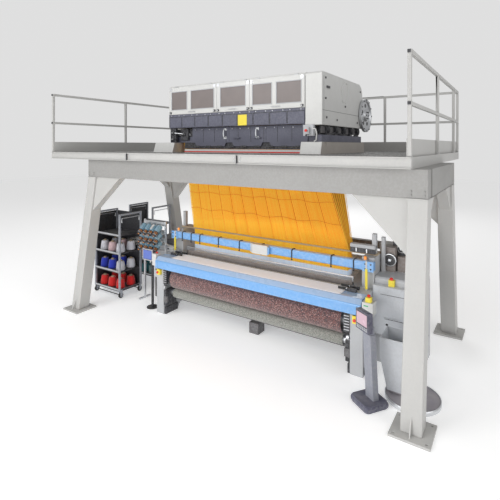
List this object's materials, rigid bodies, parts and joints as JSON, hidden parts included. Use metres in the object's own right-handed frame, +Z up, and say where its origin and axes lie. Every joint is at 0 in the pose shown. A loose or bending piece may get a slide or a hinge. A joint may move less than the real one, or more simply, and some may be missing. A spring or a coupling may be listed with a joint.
{
  "type": "power loom",
  "caption": "Rapier power loom under a walk-on steel portal that carries a jacquard head, with cord harness, beams, cloth rolls, weft feeders, yarn racks and control screens.",
  "frame": {"origin": "middle of the footprint on the floor", "axes": "+X along the loom to the weaver's right, +Y from the weaver's side to the warp side, +Z up"},
  "size_m": [6.72, 4.28, 3.79],
  "materials": {
    "white_paint": "satin",
    "grey_paint": "satin",
    "dark_paint": "satin",
    "blue_paint": "satin",
    "tread": "matte",
    "black_steel": "satin",
    "bright_steel": "brushed",
    "aluminium": "machined",
    "grey_cast": "painted",
    "board": "matte",
    "dark_plastic": "matte",
    "yellow_plastic": "matte",
    "red_plastic": "gloss",
    "teal_plastic": "matte",
    "rubber": "matte",
    "orange_cord": "matte",
    "cloth": "woven",
    "yarn": "matte"
  },
  "bodies": {
    "machine": {"base_plates": "white_paint", "beam_fittings": "black_steel", "breast_beam_cover": "blue_paint", "column_gussets": "white_paint", "comber_board": "board", "console_stand": "grey_paint", "creel_stand": "black_steel", "creel_trolley": "black_steel", "cross_members": "dark_paint", "deck_frame": "white_paint", "deck_plates": "tread", "disc_bearing_box": "dark_paint", "door_hinges": "black_steel", "drive_casings": "grey_paint", "drive_end_case": "white_paint", "far_end_cap": "white_paint", "feeder_stand": "black_steel", "harness_cords": "orange_cord", "head_frame": "black_steel", "head_panels": "dark_paint", "head_pedestals": "white_paint", "head_roof": "white_paint", "hook_modules": "dark_plastic", "left_side_frame": "grey_cast", "portal_beams": "white_paint", "portal_columns": "white_paint", "railings": "white_paint", "rapier_guards": "grey_paint", "right_side_frame": "grey_cast", "stop_boxes": "yellow_plastic", "temple_bar": "black_steel", "toe_boards": "white_paint", "touch_post": "black_steel", "upper_beam": "blue_paint", "warp_sheet": "yarn", "waste_box": "grey_paint", "waste_tray": "dark_paint", "weft_feeders": "teal_plastic", "woven_cloth": "cloth", "yarn_packages": "yarn"},
    "sley": {"sley": "aluminium", "reed": "bright_steel"},
    "warp_beam": {"warp_beam": "yarn"},
    "whip_roller": {"whip_roller": "bright_steel"},
    "take_up_roller": {"take_up_roller": "cloth"},
    "cloth_roll": {"cloth_roll": "cloth"},
    "rapier_wheel_left": {"rapier_wheel_left": "aluminium"},
    "rapier_wheel_right": {"rapier_wheel_right": "aluminium"},
    "head_door_left": {"head_door_left": "white_paint"},
    "head_door_middle": {"head_door_middle": "white_paint"},
    "head_door_right": {"head_door_right": "white_paint"},
    "drive_disc": {"drive_disc": "bright_steel"},
    "console_head": {"console_head": "dark_plastic"},
    "touch_head": {"touch_head": "dark_plastic"},
    "trolley_wheels_near": {"trolley_wheels_near": "rubber"},
    "trolley_wheels_far": {"trolley_wheels_far": "rubber"},
    "stop_button_left": {"stop_button_left": "red_plastic"},
    "stop_button_right": {"stop_button_right": "red_plastic"},
    "stop_button_head": {"stop_button_head": "red_plastic"}
  },
  "joints": [
    {"name": "warp_beam_turn", "type": "hinge", "parent": "machine", "child": "warp_beam", "pos_m": [0.745, 0, 0.52], "axis": [1, 0, 0], "continuous": true},
    {"name": "whip_roller_turn", "type": "hinge", "parent": "machine", "child": "whip_roller", "pos_m": [0.745, 0.06, 1.01], "axis": [1, 0, 0], "continuous": true},
    {"name": "take_up_turn", "type": "hinge", "parent": "machine", "child": "take_up_roller", "pos_m": [0.745, -1.165, 0.58], "axis": [1, 0, 0], "continuous": true},
    {"name": "cloth_roll_turn", "type": "hinge", "parent": "machine", "child": "cloth_roll", "pos_m": [0.745, -1.18, 0.335], "axis": [1, 0, 0], "continuous": true},
    {"name": "drive_disc_turn", "type": "hinge", "parent": "machine", "child": "drive_disc", "pos_m": [1.841, 0.72, 3.28], "axis": [1, 0, 0], "continuous": true},
    {"name": "trolley_wheels_near_roll", "type": "hinge", "parent": "machine", "child": "trolley_wheels_near", "pos_m": [-2.34, -1.26, 0.05], "axis": [1, 0, 0], "continuous": true},
    {"name": "trolley_wheels_far_roll", "type": "hinge", "parent": "machine", "child": "trolley_wheels_far", "pos_m": [-2.34, -0.82, 0.05], "axis": [1, 0, 0], "continuous": true},
    {"name": "sley_rock", "type": "hinge", "parent": "machine", "child": "sley", "pos_m": [0.745, -0.76, 0.26], "axis": [1, 0, 0], "range_deg": [-3, 6]},
    {"name": "left_rapier_wheel_turn", "type": "hinge", "parent": "machine", "child": "rapier_wheel_left", "pos_m": [-1.26, -0.88, 0.69], "axis": [0, 1, 0], "range_deg": [0, 360]},
    {"name": "right_rapier_wheel_turn", "type": "hinge", "parent": "machine", "child": "rapier_wheel_right", "pos_m": [2.75, -0.88, 0.69], "axis": [0, 1, 0], "range_deg": [-360, 0]},
    {"name": "left_door_swing", "type": "hinge", "parent": "machine", "child": "head_door_left", "pos_m": [-0.5, -1.013, 3.769], "axis": [-1, 0, 0], "range_deg": [0, 78]},
    {"name": "middle_door_swing", "type": "hinge", "parent": "machine", "child": "head_door_middle", "pos_m": [0.35, -1.013, 3.769], "axis": [-1, 0, 0], "range_deg": [0, 78]},
    {"name": "right_door_swing", "type": "hinge", "parent": "machine", "child": "head_door_right", "pos_m": [1.1, -1.013, 3.769], "axis": [-1, 0, 0], "range_deg": [0, 78]},
    {"name": "console_tilt", "type": "hinge", "parent": "machine", "child": "console_head", "pos_m": [2.6757, -1.7194, 0.8], "axis": [0.8192, -0.5736, 0], "range_deg": [-20, 18]},
    {"name": "touch_tilt", "type": "hinge", "parent": "machine", "child": "touch_head", "pos_m": [-1.2, -1.27, 0.85], "axis": [1, 0, 0], "range_deg": [-20, 25]},
    {"name": "left_stop_press", "type": "slide", "parent": "machine", "child": "stop_button_left", "axis": [0, 1, 0], "range_m": [0, 0.006], "stiffness_N_per_m": 400},
    {"name": "right_stop_press", "type": "slide", "parent": "machine", "child": "stop_button_right", "axis": [0, 1, 0], "range_m": [0, 0.006], "stiffness_N_per_m": 400},
    {"name": "head_stop_press", "type": "slide", "parent": "machine", "child": "stop_button_head", "axis": [0, 1, 0], "range_m": [0, 0.006], "stiffness_N_per_m": 400}
  ],
  "couplings": [
    {"joint": "whip_roller_turn", "follows": "warp_beam_turn", "ratio": 4.8571},
    {"joint": "take_up_turn", "follows": "warp_beam_turn", "ratio": 2.0606},
    {"joint": "cloth_roll_turn", "follows": "warp_beam_turn", "ratio": -4.359},
    {"joint": "right_rapier_wheel_turn", "follows": "left_rapier_wheel_turn", "ratio": -1},
    {"joint": "trolley_wheels_far_roll", "follows": "trolley_wheels_near_roll", "ratio": 1}
  ]
}
